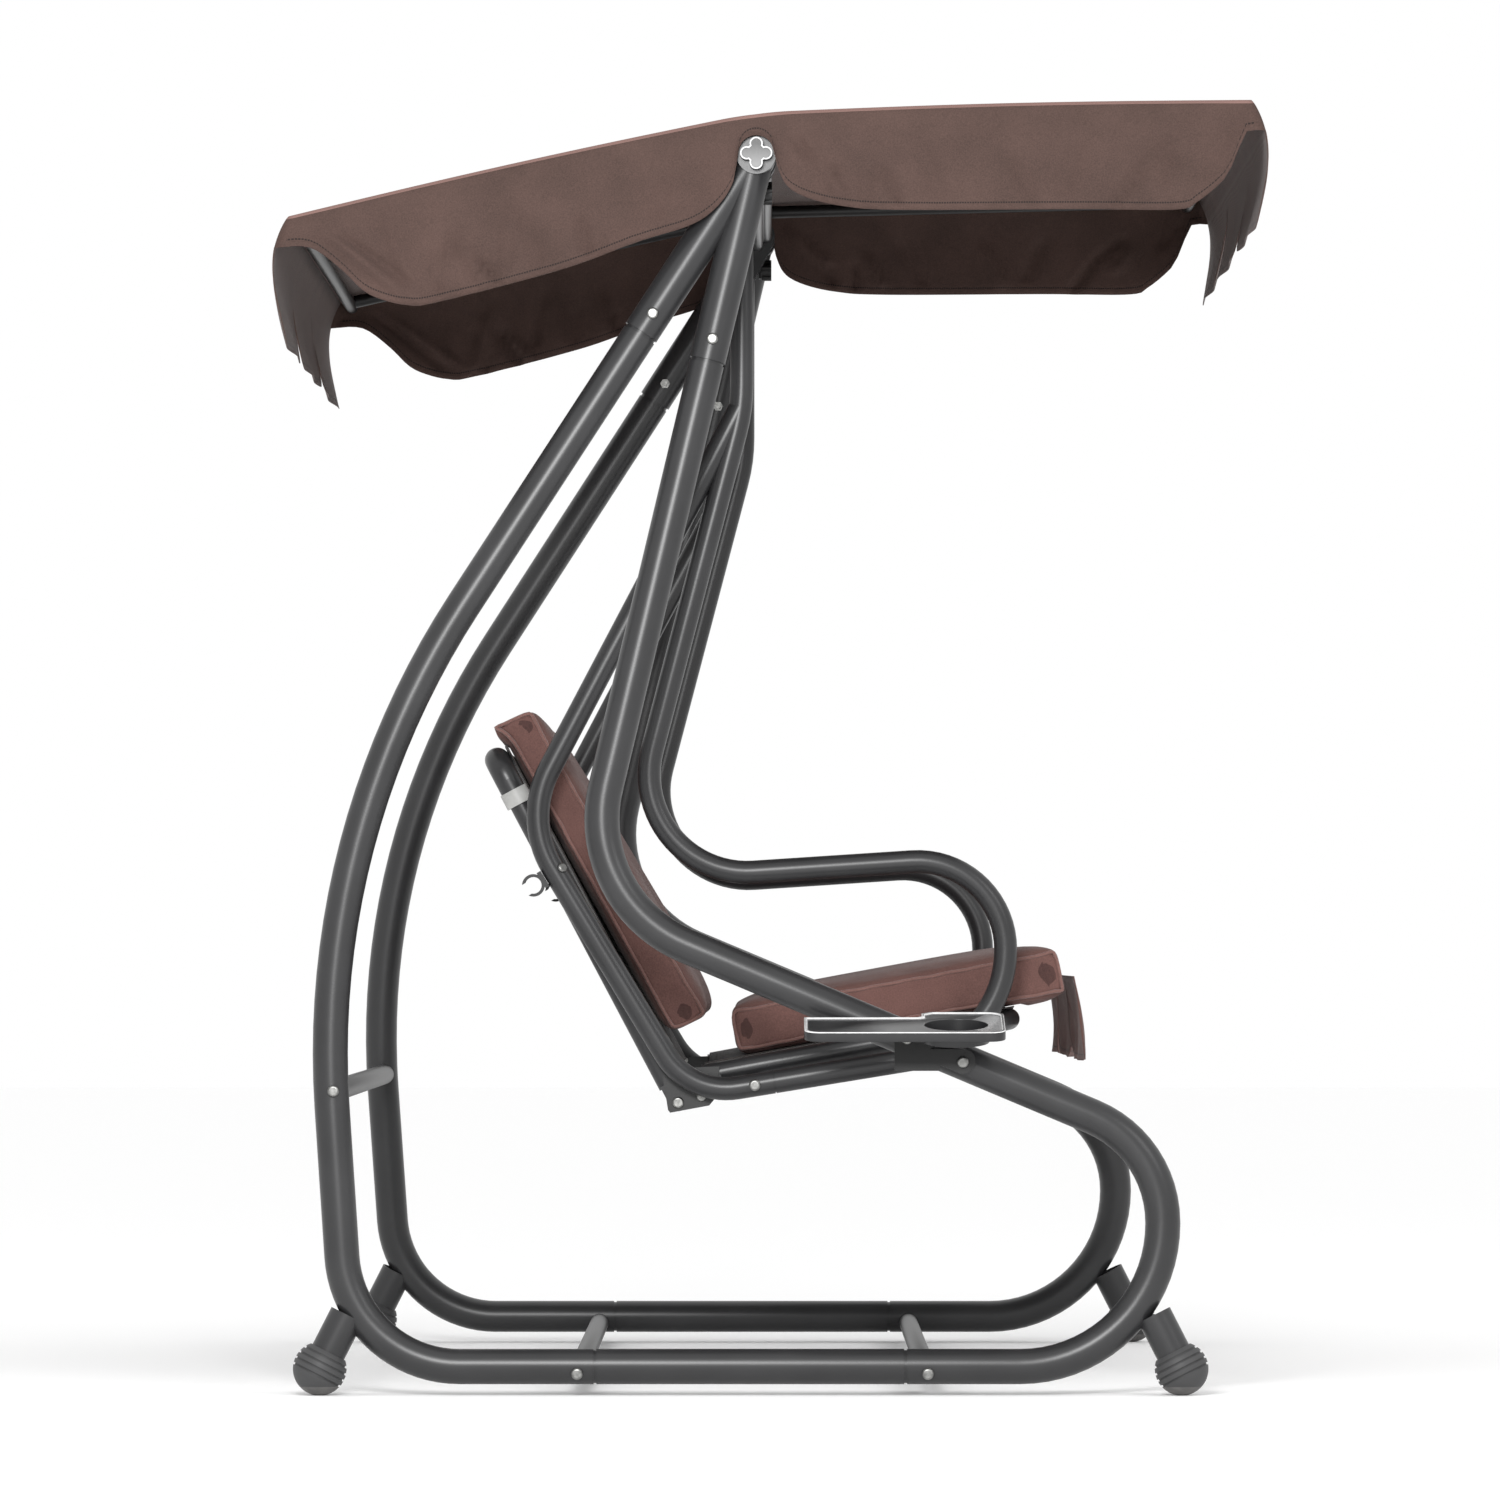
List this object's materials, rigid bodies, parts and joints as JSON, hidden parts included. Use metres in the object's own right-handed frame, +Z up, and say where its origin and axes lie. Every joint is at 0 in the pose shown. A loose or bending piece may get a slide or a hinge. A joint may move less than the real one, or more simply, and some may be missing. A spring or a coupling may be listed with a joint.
{
  "type": "glider swing",
  "caption": "Garden swing seat: a padded bench on two tube loops hangs from a curved tube stand under a tilting cloth canopy, with cup trays beside it.",
  "frame": {"origin": "on the floor, under the middle of the swing's bounding box", "axes": "+X is the front, the way a sitter faces; +Y is the sitter's left; +Z is up"},
  "size_m": [1.3204, 2.1324, 1.765],
  "materials": {
    "stand_coat": "satin charcoal powder coat",
    "seat_coat": "satin charcoal powder coat",
    "canopy_coat": "satin charcoal powder coat",
    "canopy_cloth": "brown woven polyester",
    "cushion_cloth": "reddish brown woven polyester, filled",
    "sling_mesh": "dark woven sling",
    "zinc": "bright zinc plate",
    "foot_plastic": "moulded charcoal plastic",
    "tray_plastic": "moulded grey plastic",
    "black_plastic": "moulded black plastic",
    "collar_plastic": "light grey plastic",
    "plate_coat": "black paint",
    "bush_nylon": "natural nylon",
    "plug_plastic": "grey plastic"
  },
  "bodies": {
    "stand": {"base_rail_left": "stand_coat", "base_rail_right": "stand_coat", "beam_end_plugs": "plug_plastic", "cup_tray_left": "tray_plastic", "cup_tray_right": "tray_plastic", "front_floor_bar": "stand_coat", "front_foot_left": "foot_plastic", "front_foot_right": "foot_plastic", "front_leg_left": "stand_coat", "front_leg_right": "stand_coat", "hanger_bracket_left": "stand_coat", "hanger_bracket_right": "stand_coat", "head_bracket_left": "stand_coat", "head_bracket_right": "stand_coat", "pivot_bolts": "zinc", "rear_cross_brace": "stand_coat", "rear_floor_bar": "stand_coat", "rear_foot_left": "foot_plastic", "rear_foot_right": "foot_plastic", "rear_leg_left": "stand_coat", "rear_leg_right": "stand_coat", "stand_bolts": "zinc", "stand_nuts": "zinc", "top_beam": "stand_coat", "tray_strap_left": "stand_coat", "tray_strap_right": "stand_coat"},
    "seat": {"front_loop_left": "seat_coat", "front_loop_right": "seat_coat", "front_seat_bar": "seat_coat", "hinge_plates": "plate_coat", "pivot_bushes": "bush_nylon", "rear_loop_left": "seat_coat", "rear_loop_right": "seat_coat", "rear_seat_bar": "seat_coat", "seat_bolts": "zinc", "seat_cushion": "cushion_cloth", "seat_hoop": "seat_coat", "seat_skirt": "cushion_cloth", "seat_sling": "sling_mesh", "snap_clips": "black_plastic"},
    "backrest": {"back_cushion": "cushion_cloth", "backrest_collars": "collar_plastic", "backrest_hoop": "seat_coat", "backrest_rail_left": "seat_coat", "backrest_rail_right": "seat_coat", "backrest_sling": "sling_mesh"},
    "canopy": {"canopy_arm_left": "canopy_coat", "canopy_arm_right": "canopy_coat", "canopy_clamp_left": "canopy_coat", "canopy_clamp_right": "canopy_coat", "canopy_front_panel": "canopy_cloth", "canopy_front_tube": "canopy_coat", "canopy_rear_panel": "canopy_cloth", "canopy_rear_tube": "canopy_coat", "clamp_nuts": "zinc", "front_valance": "canopy_cloth", "rear_valance": "canopy_cloth", "side_flaps": "canopy_cloth"},
    "right_knob": {"clamp_knob_right": "black_plastic"},
    "left_knob": {"clamp_knob_left": "black_plastic"}
  },
  "joints": [
    {"name": "seat_swing", "type": "hinge", "parent": "stand", "child": "seat", "pos_m": [-0.039, 0, 1.64], "axis": [0, 1, 0], "range_deg": [-22, 22]},
    {"name": "backrest_recline", "type": "hinge", "parent": "seat", "child": "backrest", "pos_m": [-0.127, 0, 0.394], "axis": [0, 1, 0], "range_deg": [-42, 0]},
    {"name": "canopy_tilt", "type": "hinge", "parent": "stand", "child": "canopy", "pos_m": [-0.019, 0, 1.693], "axis": [0, 1, 0], "range_deg": [-12, 20]},
    {"name": "right_knob_turn", "type": "hinge", "parent": "canopy", "child": "right_knob", "pos_m": [-0.012, -0.8, 1.645], "axis": [1, 0, 0], "range_deg": [-540, 0]},
    {"name": "left_knob_turn", "type": "hinge", "parent": "canopy", "child": "left_knob", "pos_m": [-0.012, 0.8, 1.645], "axis": [1, 0, 0], "range_deg": [-540, 0]}
  ]
}
